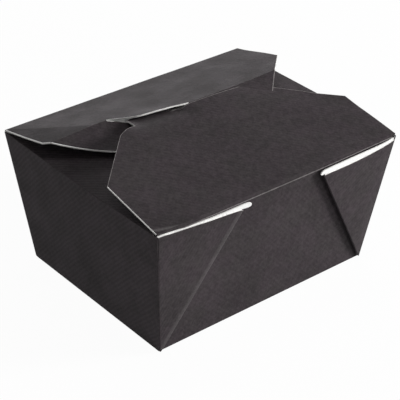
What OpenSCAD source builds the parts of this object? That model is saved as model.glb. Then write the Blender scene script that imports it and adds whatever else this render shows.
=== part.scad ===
/* [Tray] */
// Width of the floor, along the front wall
base_w = 112; // [90:1:180]
// Depth of the floor, from the front wall to the rear wall
base_d = 88; // [70:1:140]
// Height from the table to the top folds
height = 62.5; // [45:0.5:110]
// How far the top reaches past the floor at each side
flare_w = 8; // [4:0.5:14]
// How far the top reaches past the floor at the front and at the rear
flare_d = 7.5; // [4:0.5:14]
// Thickness of the board
board_t = 0.5; // [0.35:0.05:0.7]

/* [Corner gussets] */
// Height of the white tab at its inner end
tab_h = 3.3; // [1.5:0.1:4]
// Drop of the tab's upper edge below the fold, at its inner end
tab_drop = 1.9; // [1:0.1:3]
// Drop of the tab's upper edge below the fold, at the corner
tab_corner_drop = 0.8; // [0.7:0.1:1.5]
// Height of the tab at the corner
tab_corner_h = 1.5; // [0.4:0.1:2]
// How far the tab's round end reaches past the folded edge
tab_reach = 3.3; // [2.6:0.1:5]
// How far a loose gusset stands off its wall, at the top of its folded edge
stand_off = 2.4; // [1:0.1:4]

/* [Rear flap] */
// Rise of the rear flap above the level
rear_rise = 13.8; // [10:0.2:18]
// Distance from the rear fold to the ridge, along the flap
ridge_v = 43.2; // [36:0.2:48]
// Length of each straight wing edge of the rear flap, from its fold
rear_wing_len = 28; // [22:0.5:30]
// Distance from the rear fold to the fold at the flap's left end
left_fold_v = 30.5; // [30:0.5:34]
// Whole length of the rear flap, unfolded
rear_len = 55; // [50:0.5:58]
// Bend of the tucked panel below the first one
tuck_bend = 26; // [24:0.5:30]
// Width of the lip, from the middle to the left
lip_w = 34; // [28:0.5:38]
// Distance from the middle to the lip's rounded shoulder
lip_shoulder_u = 24; // [18:0.5:28]
// Distance from the rear fold to the lip's rounded shoulder
lip_shoulder_v = 41.5; // [39:0.5:43]
// Bend by which the lip springs up over the tongue
lip_spring = 12; // [8:0.5:16]

/* [Front flap] */
// Length of each straight wing edge, from its fold
wing_len = 31; // [24:0.5:36]
// Distance from the middle to the front flap's right corner
right_corner_u = 32; // [24:0.5:40]
// Distance from the middle to the notch beside the tongue
notch_u = 29; // [22:0.5:30]
// Distance from the middle to the near side of the tongue
tongue_start_u = 5; // [3:0.5:10]
// Distance from the middle to the tongue's far corner
tongue_tip_u = 26.5; // [20:0.5:28]
// Width of the rounded shoulder beside the notch
shoulder_w = 11; // [6:0.5:14]
// Depth of the rounded shoulder
shoulder_d = 3.6; // [2:0.2:6]
// Bend of the tongue below the front flap
tongue_dip = 29; // [24:1:32]

/* [Side flaps] */
// Length of the side flaps
side_len = 28; // [20:0.5:32]
// Rise of the side flaps above the level
side_rise = 3.5; // [2:0.5:5]

/* [Clearances] */
// Gap under the front flap's fold
hinge_gap = 0.2; // [0.1:0.05:0.4]
// Gap between each end of a large flap and the side walls
end_gap = 0.3; // [0.2:0.05:0.6]
// Gap between the front flap's edge and the panel it rests over
rest_gap = 0.3; // [0.2:0.05:0.6]
// Gap between the tongue's end and the lip
tongue_gap = 0.25; // [0.2:0.05:0.6]
// Distance from the front flap's edge to the ridge
ridge_gap = 1; // [0.6:0.1:2]
// Distance from a side flap's end to the large flaps' folds
corner_relief = 1.5; // [1.2:0.1:4]

/* [Hidden] */
board_black = "#343132";
eps = 0.01;
// Folds are pressed, so they are a little thinner than the board
bead_r = 0.45 * board_t;
bead_fn = 24;
fold_inset = 0.3;
// Distance between the middles of two glued layers, pressed together by a hair
lay = board_t - eps;

// Floor folds, on the board's middle surface
fold_x = base_w / 2 - board_t / 2;
fold_y = base_d / 2 - board_t / 2 - 2 * lay;
// Top folds, on the board's middle surface
top_x = fold_x + flare_w;
top_y = fold_y + flare_d;
hinge_z = height - board_t / 2;
wall_h = hinge_z - board_t / 2;
side_drop = board_t;
side_h = wall_h - side_drop;
// Walls, measured in their own planes
lean_f = atan(flare_d / wall_h);
lean_s = atan(flare_w / wall_h);
slant_f = norm([wall_h, flare_d]);
slant_s = norm([wall_h, flare_w]);
side_slant = slant_s * side_h / wall_h;
front_slant = slant_f - bead_r - hinge_gap;

// The web between two walls folds along its bisector
tilt_f = atan(flare_w / slant_f);
tilt_s = atan(flare_d / slant_s);
half_web = (90 - tilt_f - tilt_s) / 2;
edge_in = tan(half_web - tilt_f);
tab_low = slant_f - tab_drop - tab_h;
tab_low_x = fold_x - tab_low * edge_in;
tab_c = [tab_low_x - tab_reach + tab_h / 2, tab_low + tab_h / 2];
// The gusset's layers end in a blunt tip, just above the floor's corner
tip_up = board_t;
// The side walls reach past the large walls from this far up
side_tip_up = tip_up / 2;
gusset_tip = [[fold_x - tip_up * edge_in, tip_up], [fold_x + flare_w * tip_up / slant_f, tip_up]];
corner_edge_len = norm([slant_f, flare_w]);
loose_turn = asin(stand_off / (corner_edge_len * sin(half_web)));

// Large flaps
flap_half = top_x - bead_r - end_gap;
ridge_y = top_y - ridge_v * cos(rear_rise);
tuck_fall = tuck_bend - rear_rise;
slant_end = function(v) flap_half - (v - rear_wing_len);
edge_y = ridge_y - ridge_gap;
under_edge_z = ridge_v * sin(rear_rise) - ridge_gap * tan(tuck_fall);
edge_z = under_edge_z + board_t / cos(tuck_fall) + rest_gap;
front_rise = atan(edge_z / (edge_y + top_y));
front_len = (edge_y + top_y) / cos(front_rise);
tongue_fall = tongue_dip - front_rise;

// The tucked panel's middle part twists down from the ridge to the left fold
level_step = (ridge_v - left_fold_v) * sin(tuck_bend);
twist = asin(level_step / lip_w);
twist_w = lip_w / cos(twist);

// The slit is open by this much at its left end, and its folds stop this far from it
slit = 0.6;
// The tucked panel's middle part is shorter than its neighbours by this much
middle_short = 0.1;
// Curve of the lip's edge in the rear flap's plane, from its left end at 0 to the middle at 1
lip_at = function(t) (1 - t) ^ 2 * [-lip_w, left_fold_v]
    + 2 * t * (1 - t) * [-lip_shoulder_u, lip_shoulder_v] + t ^ 2 * [0, ridge_v];
lip_fn = 12;
lip_edge = [for (i = [0:lip_fn]) lip_at(i / lip_fn)];
// Depth coordinate of a point of the unsprung lip
lip_y = function(v) top_y - v * cos(rear_rise);

// Flat piece of board in the plane of its middle surface
module panel(outline) {
    translate([0, 0, -board_t / 2])
        linear_extrude(height = board_t)
            polygon(outline);
}

// Rounded fold between two points of a panel's plane. It stops just inside the board's ends
module crease(from, to, r = bead_r) {
    run = to - from;
    translate([from.x, from.y, 0])
        rotate([0, 0, atan2(run.y, run.x)])
            translate([fold_inset, 0, 0])
                rotate([0, 90, 0])
                    cylinder(h = norm(run) - 2 * fold_inset, r = r, $fn = bead_fn);
}

// Plane of the front wall, or of the rear wall: x along the wall, y up its slope
module on_large_wall(side) {
    mirror([0, side > 0 ? 1 : 0, 0])
        translate([0, -fold_y, board_t / 2])
            rotate([90 + lean_f, 0, 0])
                children();
}

// Plane of a side wall: x along the wall, y up its slope
module on_side_wall(side) {
    mirror([side > 0 ? 1 : 0, 0, 0])
        translate([-fold_x, 0, board_t / 2])
            rotate([0, 0, -90])
                rotate([90 + lean_s, 0, 0])
                    children();
}

// Plane of a large flap: x along the fold, y out from it
module on_large_flap(side, rise) {
    mirror([0, side > 0 ? 1 : 0, 0])
        translate([0, -top_y, hinge_z])
            rotate([rise, 0, 0])
                children();
}

module floor_panel() {
    translate([0, 0, board_t / 2]) {
        panel([[-fold_x, -fold_y], [fold_x, -fold_y], [fold_x, fold_y], [-fold_x, fold_y]]);
        for (s = [-1, 1]) {
            crease([-fold_x, s * fold_y], [fold_x, s * fold_y]);
            crease([s * fold_x, -fold_y], [s * fold_x, fold_y]);
        }
    }
}

// Front or rear wall. The front one stops under its flap's fold
module large_wall(side) {
    up = side < 0 ? front_slant : slant_f;
    half_up = fold_x + flare_w * up / slant_f;
    on_large_wall(side)
        panel([[-fold_x, 0], [fold_x, 0], [half_up, up], [-half_up, up]]);
}

// Side wall. It reaches past the large walls by the gussets' two layers
module side_wall(side) {
    reach = fold_y + 2 * lay / cos(lean_f);
    tip_half = reach + flare_d * side_tip_up / slant_s;
    top_half = reach + flare_d * side_slant / slant_s;
    on_side_wall(side) {
        panel([
            [-fold_y, 0], [fold_y, 0], [tip_half, side_tip_up],
            [top_half, side_slant], [-top_half, side_slant], [-tip_half, side_tip_up]
        ]);
        crease([-top_half, side_slant], [top_half, side_slant]);
    }
}

// Inner layer of a right-hand gusset, with the round-ended tab that stays white
module gusset_inner_layer() {
    top_at = slant_f - tab_corner_drop;
    round_end = [for (a = [90:15:270]) tab_c + tab_h / 2 * [cos(a), sin(a)]];
    panel(concat(
        gusset_tip,
        [[fold_x + flare_w * top_at / slant_f, top_at]],
        round_end,
        [[tab_low_x, tab_low]]
    ));
}

// Outer layer of a right-hand gusset. Its upper edge slopes down to the folded edge
module gusset_outer_layer() {
    top_at = slant_f - tab_corner_drop - tab_corner_h;
    panel(concat(gusset_tip, [[fold_x + flare_w * top_at / slant_f, top_at], [tab_low_x, tab_low]]));
}

// Web folded in two along its bisector, right-hand corner of a large wall
module gusset(turn) {
    fold_from = 3 * board_t;
    translate([fold_x, 0, lay])
        rotate([0, 0, -tilt_f])
            rotate([0, turn, 0])
                rotate([0, 0, tilt_f])
                    translate([-fold_x, 0, 0]) {
                        gusset_inner_layer();
                        translate([0, 0, lay])
                            gusset_outer_layer();
                        translate([0, 0, lay / 2])
                            crease([fold_x - fold_from * edge_in, fold_from], [tab_low_x, tab_low], 2 * bead_r);
                    }
}

// The gussets at the front right and at the rear left are loose at their folded edge
module gussets() {
    for (side = [-1, 1], hand = [-1, 1])
        on_large_wall(side)
            mirror([hand < 0 ? 1 : 0, 0, 0])
                gusset(side * hand < 0 ? loose_turn : 0);
}

module side_flap(side) {
    root_half = top_y - corner_relief;
    end_half = root_half - side_len;
    mirror([side > 0 ? 1 : 0, 0, 0])
        translate([-top_x + flare_w * side_drop / wall_h, 0, hinge_z - side_drop])
            rotate([0, 0, -90])
                rotate([side_rise, 0, 0])
                    panel([
                        [-root_half, 0], [root_half, 0],
                        [end_half, side_len], [-end_half, side_len]
                    ]);
}

// First panel of the rear flap, up to the ridge at the right and the fold at the left
module rear_first_panel() {
    panel([
        [-flap_half, 0], [flap_half, 0], [flap_half, rear_wing_len],
        [slant_end(ridge_v), ridge_v], [0, ridge_v],
        [-lip_w, left_fold_v], [-slant_end(left_fold_v), left_fold_v], [-flap_half, rear_wing_len]
    ]);
    crease([-flap_half, 0], [flap_half, 0]);
    crease([0, ridge_v], [slant_end(ridge_v), ridge_v]);
    crease([-slant_end(left_fold_v), left_fold_v], [-lip_w, left_fold_v]);
}

// The lip springs up about the line from the slit's end to the ridge
module lip() {
    turn = atan2(ridge_v - left_fold_v, lip_w);
    root = board_t;
    left_end = slit - lip_w;
    edge = [for (p = lip_edge) [max(p.x, left_end), p.y]];
    translate([0, ridge_v, 0])
        rotate([0, 0, turn])
            rotate([lip_spring, 0, 0])
                rotate([0, 0, -turn])
                    translate([0, -ridge_v, 0])
                        panel(concat(edge, [[0, ridge_v - root], [left_end, left_fold_v - root]]));
}

// Panel that goes down under the front flap: right part, twisted middle and left part
module tucked_panel() {
    end_w = rear_len - ridge_v;
    left_end_w = rear_len - left_fold_v;
    middle_w = end_w - middle_short;
    translate([0, ridge_v, 0])
        rotate([-tuck_bend, 0, 0]) {
            panel([
                [0, 0], [slant_end(ridge_v), 0], [slant_end(rear_len), end_w], [0, end_w]
            ]);
            crease([0, slit], [0, end_w]);
            rotate([0, -twist, 0])
                panel([
                    [0, middle_w], [-twist_w, middle_w],
                    for (i = [1:len(lip_edge) - 1])
                        [lip_edge[i].x * twist_w / lip_w, lip_edge[i].y - ridge_v]
                ]);
        }
    translate([0, left_fold_v, 0])
        rotate([-tuck_bend, 0, 0]) {
            panel([
                [-lip_w, 0], [-slant_end(left_fold_v), 0],
                [-slant_end(rear_len), left_end_w], [-lip_w, left_end_w]
            ]);
            crease([-lip_w, slit], [-lip_w, left_end_w]);
        }
}

module rear_flap() {
    on_large_flap(1, rear_rise) {
        rear_first_panel();
        lip();
        tucked_panel();
    }
}

// One folded sheet: tray, glued gussets, side flaps and rear flap
module carton() {
    color(board_black) {
        floor_panel();
        for (s = [-1, 1]) {
            large_wall(s);
            side_wall(s);
            side_flap(s);
        }
        gussets();
        rear_flap();
    }
}

// Tongue that goes down to the slit under the lip and stops just short of the lip's edge
module tongue() {
    far_edge = [
        for (p = lip_edge)
            if (p.x > -tongue_tip_u && p.x < -tongue_start_u)
                [p.x, (lip_y(p.y) - tongue_gap - edge_y) / cos(tongue_fall)]
    ];
    translate([0, front_len, 0])
        rotate([-tongue_dip, 0, 0])
            panel(concat([[-tongue_start_u, 0], [-notch_u, 0]], far_edge));
    crease([-notch_u, front_len], [-tongue_start_u, front_len]);
}

// Front flap, hinged at the top of the front wall
module front_flap() {
    shoulder = [
        for (a = [0:15:90])
            [-notch_u - shoulder_w * (1 - sin(a)), front_len - shoulder_d * (1 - cos(90 - a))]
    ];
    color(board_black)
        on_large_flap(-1, front_rise) {
            panel(concat(
                [[flap_half, 0], [flap_half, wing_len], [right_corner_u, front_len], [-notch_u, front_len]],
                [for (i = [5:-1:0]) shoulder[i]],
                [[-flap_half, wing_len], [-flap_half, 0]]
            ));
            crease([-flap_half, 0], [flap_half, 0]);
            tongue();
        }
}

carton();
front_flap();
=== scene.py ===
import math
import bpy
from mathutils import Matrix, Vector, geometry, noise


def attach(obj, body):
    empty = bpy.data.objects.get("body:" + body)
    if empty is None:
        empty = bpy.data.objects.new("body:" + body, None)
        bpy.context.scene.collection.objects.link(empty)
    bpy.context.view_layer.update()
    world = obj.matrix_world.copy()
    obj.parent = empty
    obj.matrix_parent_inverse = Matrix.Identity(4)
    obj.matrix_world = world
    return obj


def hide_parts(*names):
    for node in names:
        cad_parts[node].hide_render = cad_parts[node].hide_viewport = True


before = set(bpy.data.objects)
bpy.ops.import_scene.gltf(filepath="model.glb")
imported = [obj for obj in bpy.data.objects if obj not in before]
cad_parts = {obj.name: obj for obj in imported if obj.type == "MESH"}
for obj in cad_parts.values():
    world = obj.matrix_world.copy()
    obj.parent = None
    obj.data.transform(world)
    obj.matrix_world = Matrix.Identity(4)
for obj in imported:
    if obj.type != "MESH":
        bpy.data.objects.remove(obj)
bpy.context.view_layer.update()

# Lengths below are in millimetres, as in the part's source. Meshes are scaled to metres.
# The lamps and the backdrop's floor are in metres.
MM = 0.001

# The tray. Its base and height are outside measures. FOLD_, TOP_ and HINGE_Z are places of the
# board's middle surface, at the bottom folds and the top folds. The side walls end SIDE_DROP lower.
BASE_W = 112.0
BASE_D = 88.0
HEIGHT = 62.5
FLARE_W = 8.0
FLARE_D = 7.5
BOARD = 0.5
LAY = 0.49
FOLD_X = BASE_W / 2 - BOARD / 2
FOLD_Y = BASE_D / 2 - BOARD / 2 - 2 * LAY
TOP_X = FOLD_X + FLARE_W
TOP_Y = FOLD_Y + FLARE_D
HINGE_Z = HEIGHT - BOARD / 2
WALL_H = HINGE_Z - BOARD / 2
SIDE_DROP = BOARD
SIDE_H = WALL_H - SIDE_DROP
LEAN_F = math.atan(FLARE_D / WALL_H)
LEAN_S = math.atan(FLARE_W / WALL_H)
SLANT_F = math.hypot(WALL_H, FLARE_D)
SLANT_S = math.hypot(WALL_H, FLARE_W)
SIDE_SLANT = SLANT_S * SIDE_H / WALL_H
# The left wall's top edge hangs by SIDE_SAG, which fades over SAG_FADE along its flap
SIDE_SAG = 0.7
SAG_FADE = 12.0
# The large walls end this far below the bead of the flap above
WALL_GAP = 0.02
BEAD = BOARD / 2

# The corner gussets. They begin a little above the floor, at TIP_UP. TILT_ is the lean of a
# corner's edge, seen square to its wall, and EDGE_IN the folded edge's run inwards for its height.
TIP_UP = BOARD
TILT_F = math.atan(FLARE_W / SLANT_F)
TILT_S = math.atan(FLARE_D / SLANT_S)
HALF_WEB = (math.pi / 2 - TILT_F - TILT_S) / 2
EDGE_IN = math.tan(HALF_WEB - TILT_F)
# The loose ones stand off the wall, by this much at the fold's end, and bow out besides
STAND_OFF = 0.5
LOOSE_TURN = math.asin(STAND_OFF / (math.hypot(SLANT_F, FLARE_W) * math.sin(HALF_WEB)))
LOOSE_BOW = 1.0
BOW_RUN = 4.0
# How far past a loose gusset's edge the wall is painted darker, a painted shadow of the gusset
WALL_SHADOW_REACH = 1.2
# A gusset's folded edge: where its bead begins, and the bead's radius
FOLD_FROM = 3 * BOARD
FOLD_BEAD = LAY * 0.99
# The glued gussets' painted highlight line: its distance at the fold, and the growth per millimetre
SOFT_AT_FOLD = 0.6
SOFT_GROWTH = 0.45
# The tabs' outlines run from the corner: distance from the wall's middle, height up the wall
GLUED_TAB_TOP = [
    (63.3, 62.15), (60.2, 62.05), (57.0, 61.7), (50.8, 60.95), (44.0, 60.45),
    (36.7, 60.05), (29.0, 59.85), (22.2, 59.9), (18.4, 59.7), (17.5, 59.5),
]
GLUED_TAB_END = [(16.6, 59.15), (16.0, 58.65), (15.9, 57.95), (16.4, 57.45), (17.4, 57.3)]
GLUED_TAB_LOW = [
    (20.6, 57.65), (23.7, 58.15), (29.0, 58.65), (36.3, 59.2), (43.5, 60.0),
    (50.6, 60.75), (57.2, 61.4), (60.2, 61.85), (63.2, 62.0),
]
LOOSE_TAB_TOP = [
    (63.3, 61.25), (57.0, 61.1), (51.0, 61.05), (46.5, 61.1), (31.2, 61.15), (23.0, 61.05),
    (21.0, 60.9),
]
LOOSE_TAB_END = [(20.3, 60.55), (19.9, 60.1), (19.9, 59.5), (20.2, 59.05)]
LOOSE_TAB_LOW = [
    (21.5, 58.85), (25.0, 58.9), (29.0, 58.8), (37.3, 58.8), (47.3, 59.2), (55.0, 59.8),
    (63.1, 60.45),
]

# The rear flap
FLAP_T = 0.56
REAR_LEFT = 64.1
REAR_RIGHT = 64.0
REAR_RISE = math.radians(13.8)
LEFT_WING = 26.6
LEFT_WING_IN = 1.0
RIGHT_WING = 28.0
LEFT_FOLD_V = 29.0
RIDGE_V = 43.2
REAR_LEN = 55.0
# Its bends: the rise beside its fold, the right wing's lift, and the left corner's droop past a
# soft crease, which has a point and a direction
ROOT_LIFT = 0.6
ROOT_RUN = 10.0
WING_LIFT = 0.85
WING_FROM = 25.0
WING_RUN = 38.0
WING_DEPTH = 24.0
REAR_CREASE_AT = (-60.9, 2.55)
REAR_CREASE_RUN = (0.628, 0.779)
REAR_CORNER_DROOP = 0.045
REAR_CORNER_EASE = 16.0
# Its tucked panel: the fall at the right, the drop and its run at the left, the slope behind the
# fold there, the change from left to right, and the extra drop under the slit
TUCK_FALL = math.radians(12.2)
TUCK_DROP = 3.3
TUCK_RUN = 19.0
TUCK_BEHIND = 0.3
TUCK_TURN_FROM = -38.0
TUCK_TURN_RUN = 30.0
SLIT_DROP = 0.5
SLIT_MARGIN = 2.0
SLIT_EASE = 8.0
SLIT_DEPTH = 9.0
# The slit's left end, and the lip, which springs up past a line that lies LIP_ROOT_BACK behind the
# one from the slit's left end to the ridge
LIP_ROOT = -32.6
LIP_ROOT_BACK = 4.0
LIP_LEAST_REACH = 0.5
# The lip's edge: place along the flap, distance from the fold, lift
LIP_POINTS = [
    (-32.6, 29.0, 0.0), (-29.2, 31.9, 0.1), (-26.0, 35.3, 0.25), (-22.0, 38.4, 0.5),
    (-17.7, 39.7, 0.7), (-13.3, 40.8, 0.75), (-7.7, 41.75, 0.6), (-2.5, 43.0, 0.3),
    (0.4, 43.2, 0.1),
]

# The front flap
FRONT_RISE = math.radians(10.72)
FRONT_LEFT = 63.3
FRONT_RIGHT = 64.1
FRONT_LEN = 58.6
LEFT_EDGE = [
    (-29.0, 58.4), (-31.2, 58.1), (-34.0, 57.4), (-36.6, 56.3), (-39.3, 54.9), (-51.6, 42.8),
    (-62.9, 31.6),
]
RIGHT_EDGE = [(64.0, 30.6), (54.0, 38.4), (48.9, 43.4), (31.6, 58.3)]
# Its tongue: its ends along the flap, its gap to the lip's edge and its reach under it, its bend,
# and how both ease off at its sides
TONGUE_FROM = -5.0
TONGUE_TIP = -26.4
TONGUE_GAP = 0.15
TONGUE_REACH = 2.4
TONGUE_SLOPE = 0.45
TONGUE_BEND_V = 55.0
TONGUE_BEND = 3.5
TONGUE_DEPTH_FROM = 46.0
TONGUE_DEPTH_RUN = 8.0
TONGUE_RIGHT_EASE = 6.5
TONGUE_LEFT_END = -37.0
TONGUE_LEFT_EASE = 12.0
TONGUE_SIDE_RUN = 0.3
REACH_LEFT_EASE = 4.0
REACH_RIGHT_END = -6.0
REACH_RIGHT_EASE = 6.0
# Its droop: the right wing's, up to a limit, and the far right edge's
RIGHT_DROOP = 0.0026
RIGHT_DROOP_RUN = (0.75, 0.66)
DROOP_LIMIT = 0.7
FAR_DROOP = 0.0030
FAR_DROOP_SHARE = 0.35
FAR_DROOP_RUN = 0.7
FAR_DROOP_V = 30.0
DROOP_FROM = 46.0
# Its soft crease across the left corner, how narrow the painted highlight line along it is, and
# the bend past it
CORNER_CREASE = ((-62.0, 2.1), (-54.3, 0.0))
CORNER_CREASE_NARROW = 1.6
CORNER_BEND = 0.2
CORNER_BEND_EASE = 0.8

# The side flaps, whose corners are cut back by CORNER_RELIEF
SIDE_LEN = 28.0
SIDE_RISE = math.radians(3.5)
CORNER_RELIEF = 1.5

# Unevenness of the paper: size, scale, place in the noise
REAR_WAVE = (0.12, 26, 3.1)
TUCK_WAVE = (0.1, 20, 9.7)
FRONT_WAVE = (0.12, 30, 5.5)
APRON_WAVE = (0.03, 9, 2.2)

# Spacing of the meshes' points
SIDE_WALL_STEP = 6.0
SIDE_FLAP_STEP = 5.0
GUSSET_STEP = 4.0
REAR_STEP = 2.6
FRONT_STEP = 2.4
# Distance between rows of inner points, and their least distance from the outline, in steps
ROW_STEP = 0.87
EDGE_ROOM = 0.4
# The triangulation keeps what lies inside the outline, and merges points that are this close
INSIDE_ONLY = 1
MERGE = 1e-5

# Width of the band along cut edges, painted lighter as edge wear and a painted rim highlight, and
# along bare ones
FRINGE_W = 0.2
BARE_W = 0.34
# Places along the flaps where bare edges begin or end
LIP_BARE_TO = 1.0
TUCK_BARE_FROM = 30.0
FRONT_BARE_TO = 31.0

# Wear of the folds, from 0 to 1
FLOOR_WEAR = 0.3
RIM_WEAR = 0.1
CORNER_WEAR = 0.05
# The glued gussets' folded edge is painted lighter, partly as wear and partly as a painted
# highlight
GUSSET_WEAR_AND_HIGHLIGHT = 0.4
RIDGE_WEAR = 0.05
LEFT_FOLD_WEAR = 0.15

# Tolerances: at a straight fold, at its end, at a gusset's fold, at a gusset's corner
NEAR = 0.01
NEAR_END = 0.1
NEAR_FOLD = 0.02
NEAR_CORNER = 0.5

# The rear flap's beads end this far short of its edges, of the ridge's end and of the slit
EDGE_SHORT = 0.2
RIDGE_SHORT = 0.5
SLIT_SHORT = 0.3

# Further off than any crease or painted shade reaches
FAR = 99.0
# Edges that turn by more than this are drawn sharp
SHARP_ANGLE = math.radians(38)
# A direction that no fold runs along
ASKEW = (0.31, 0.22, 0.92)
# The slots, in the order of MATERIALS
BLACK, WHITE, CUT, CREASE, FRINGE = range(5)


def smooth(x):
    """0 below 0, 1 above 1, and a smooth step between."""
    x = min(max(x, 0.0), 1.0)
    return x * x * (3 - 2 * x)


def wave(x, y, size, scale, seed):
    """Slow unevenness, up to size both ways, over lengths of about scale."""
    return size * noise.noise(Vector((x / scale, y / scale, seed)))


def spread(a, b, count):
    return [a + (b - a) * i / count for i in range(count + 1)]


def dense(outline, step):
    """The outline with its long edges divided, so that they can follow a curved sheet."""
    found = []
    for i, a in enumerate(outline):
        b = outline[(i + 1) % len(outline)]
        count = max(1, round(math.dist(a, b) / step))
        for k in range(count):
            found.append((a[0] + (b[0] - a[0]) * k / count, a[1] + (b[1] - a[1]) * k / count))
    return found


def curve_through(points, count):
    """Smooth curve through points of any size, with count steps between two of them."""
    points = [Vector(p) for p in points]
    found = []
    for i in range(len(points) - 1):
        p0 = points[max(i - 1, 0)]
        p1 = points[i]
        p2 = points[i + 1]
        p3 = points[min(i + 2, len(points) - 1)]
        for k in range(count):
            t = k / count
            square = p0 * 2 - p1 * 5 + p2 * 4 - p3
            cube = p1 * 3 - p0 - p2 * 3 + p3
            turn = (p2 - p0) * t + square * t * t + cube * t ** 3
            found.append(tuple(p1 + turn * 0.5))
    found.append(tuple(points[-1]))
    return found


def nowhere(u, v):
    return False


def everywhere(u, v):
    return True


def far_off(u, v):
    return FAR


def outside(u, v):
    return -FAR


class Sheet:
    """Board panels and folds collected into one mesh.

    Each point has its place on the flat sheet, its wear together with painted highlight, its
    distance from the panel's soft crease, along which a highlight line is painted, and its
    distance inside the part of the panel that is painted darker as painted shade.
    """

    def __init__(self):
        self.points = []
        self.flat = []
        self.wear_and_highlight = []
        self.crease = []
        self.painted_shade = []
        self.faces = []
        self.slots = []

    def add_points(self, points, flat, wear_and_highlight, crease, painted_shade):
        first = len(self.points)
        self.points += points
        self.flat += flat
        self.wear_and_highlight += wear_and_highlight
        self.crease += crease
        self.painted_shade += painted_shade
        return first

    def add_face(self, face, slot):
        self.faces.append(face)
        self.slots.append(slot)

    def panel(
        self, outline, place, flat, step=None, thick=BOARD, sides=(BLACK, WHITE),
        joined=nowhere, bare=nowhere, fringe=FRINGE_W, crease=far_off, painted_shade=outside,
    ):
        """Closed slab of board over an outline in a panel's own coordinates.

        place gives its middle surface, and flat its place on the flat sheet. joined tells
        whether an edge is a fold, bare whether a cut edge shows white, crease how far a soft
        fold is, along which a highlight line is painted, and the painted shade how far inside a
        part painted darker a place is.
        """
        if step:
            outline = dense(outline, step)
        cuts = cut_edges(outline, joined)
        verts, tris = triangles(outline, step, cuts, fringe)
        count = len(verts)
        first = self.add_slab(verts, place, flat, thick, crease, painted_shade)
        rims = set()
        for tri in tris:
            a, b, c = (first + i for i in tri)
            u = sum(verts[i][0] for i in tri) / 3
            v = sum(verts[i][1] for i in tri) / 3
            slot = sides[0]
            # Along cut edges the top is white where the edge is bare, and elsewhere painted
            # lighter, as edge wear and a painted rim highlight
            if slot == BLACK and near_cut(u, v, cuts, fringe):
                slot = CUT if bare(u, v) else FRINGE
            self.add_face((a, b, c), slot)
            self.add_face((c + count, b + count, a + count), sides[1])
            for e in ((a, b), (b, c), (c, a)):
                if (e[1], e[0]) in rims:
                    rims.remove((e[1], e[0]))
                else:
                    rims.add(e)
        for a, b in sorted(rims):
            u = (verts[a - first][0] + verts[b - first][0]) / 2
            v = (verts[a - first][1] + verts[b - first][1]) / 2
            self.add_face((b, a, a + count, b + count), BLACK if joined(u, v) else CUT)

    def add_slab(self, verts, place, flat, thick, crease, painted_shade):
        """Points of a slab's upper side, then of its lower side. Gives the first one's number."""
        top = []
        low = []
        for u, v in verts:
            p, n = point_and_normal(place, u, v)
            top.append(p + n * thick / 2)
            low.append(p - n * thick / 2)
        flats = [flat(u, v) for u, v in verts]
        far = [crease(u, v) for u, v in verts]
        dark = [painted_shade(u, v) for u, v in verts]
        unworn = [0.0] * (2 * len(verts))
        return self.add_points(top + low, flats + flats, unworn, far + far, dark + dark)

    def tube(self, rings, flat, slots, wear_and_highlight=0.0, painted_shade=-FAR):
        """Closed skin through rings of points. slots gives each strip's material."""
        fn = len(rings[0])
        points = [p for ring in rings for p in ring]
        count = len(points)
        first = self.add_points(
            points, [flat] * count, [wear_and_highlight] * count, [FAR] * count, [painted_shade] * count
        )
        for i in range(len(rings) - 1):
            for k in range(fn):
                a = first + i * fn + k
                b = first + i * fn + (k + 1) % fn
                self.add_face((a, b, b + fn, a + fn), slots[k])
        last = first + (len(rings) - 1) * fn
        self.add_face(tuple(first + k for k in reversed(range(fn))), slots[-1])
        self.add_face(tuple(last + k for k in range(fn)), slots[-1])

    def bead(self, path, r, flat, wear_and_highlight=0.0, fn=12, painted_shade=-FAR):
        """Rounded fold along a path, with closed ends."""
        rings = []
        for i, p in enumerate(path):
            before = path[max(i - 1, 0)]
            after = path[min(i + 1, len(path) - 1)]
            along = (after - before).normalized()
            side = along.cross(Vector(ASKEW)).normalized()
            up = along.cross(side)
            turns = [math.tau * k / fn for k in range(fn)]
            rings.append([p + (side * math.cos(a) + up * math.sin(a)) * r for a in turns])
        self.tube(rings, flat, [BLACK] * (fn + 1), wear_and_highlight, painted_shade)

    def build(self, name, body, nodes):
        mesh = bpy.data.meshes.new(name)
        mesh.from_pydata([tuple(p * MM) for p in self.points], [], self.faces)
        for material in MATERIALS:
            mesh.materials.append(material)
        mesh.polygons.foreach_set("material_index", self.slots)
        mesh.polygons.foreach_set("use_smooth", [True] * len(self.faces))
        flat = mesh.attributes.new("flat", "FLOAT_VECTOR", "POINT")
        flat.data.foreach_set("vector", [c for f in self.flat for c in (f[0], f[1], 0.0)])
        for kind, values in (("wear_and_highlight", self.wear_and_highlight), ("crease", self.crease), ("painted_shade", self.painted_shade)):
            layer = mesh.attributes.new(kind, "FLOAT", "POINT")
            layer.data.foreach_set("value", values)
        mesh.set_sharp_from_angle(angle=SHARP_ANGLE)
        mesh.update()
        obj = bpy.data.objects.new(name, mesh)
        bpy.context.scene.collection.objects.link(obj)
        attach(obj, body)
        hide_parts(*nodes)


def cut_edges(outline, joined):
    edges = [(outline[i - 1], outline[i]) for i in range(len(outline))]
    return [(a, b) for a, b in edges if not joined((a[0] + b[0]) / 2, (a[1] + b[1]) / 2)]


def near_cut(u, v, cuts, fringe):
    return any(segment_distance(u, v, a, b) < fringe for a, b in cuts)


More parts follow.
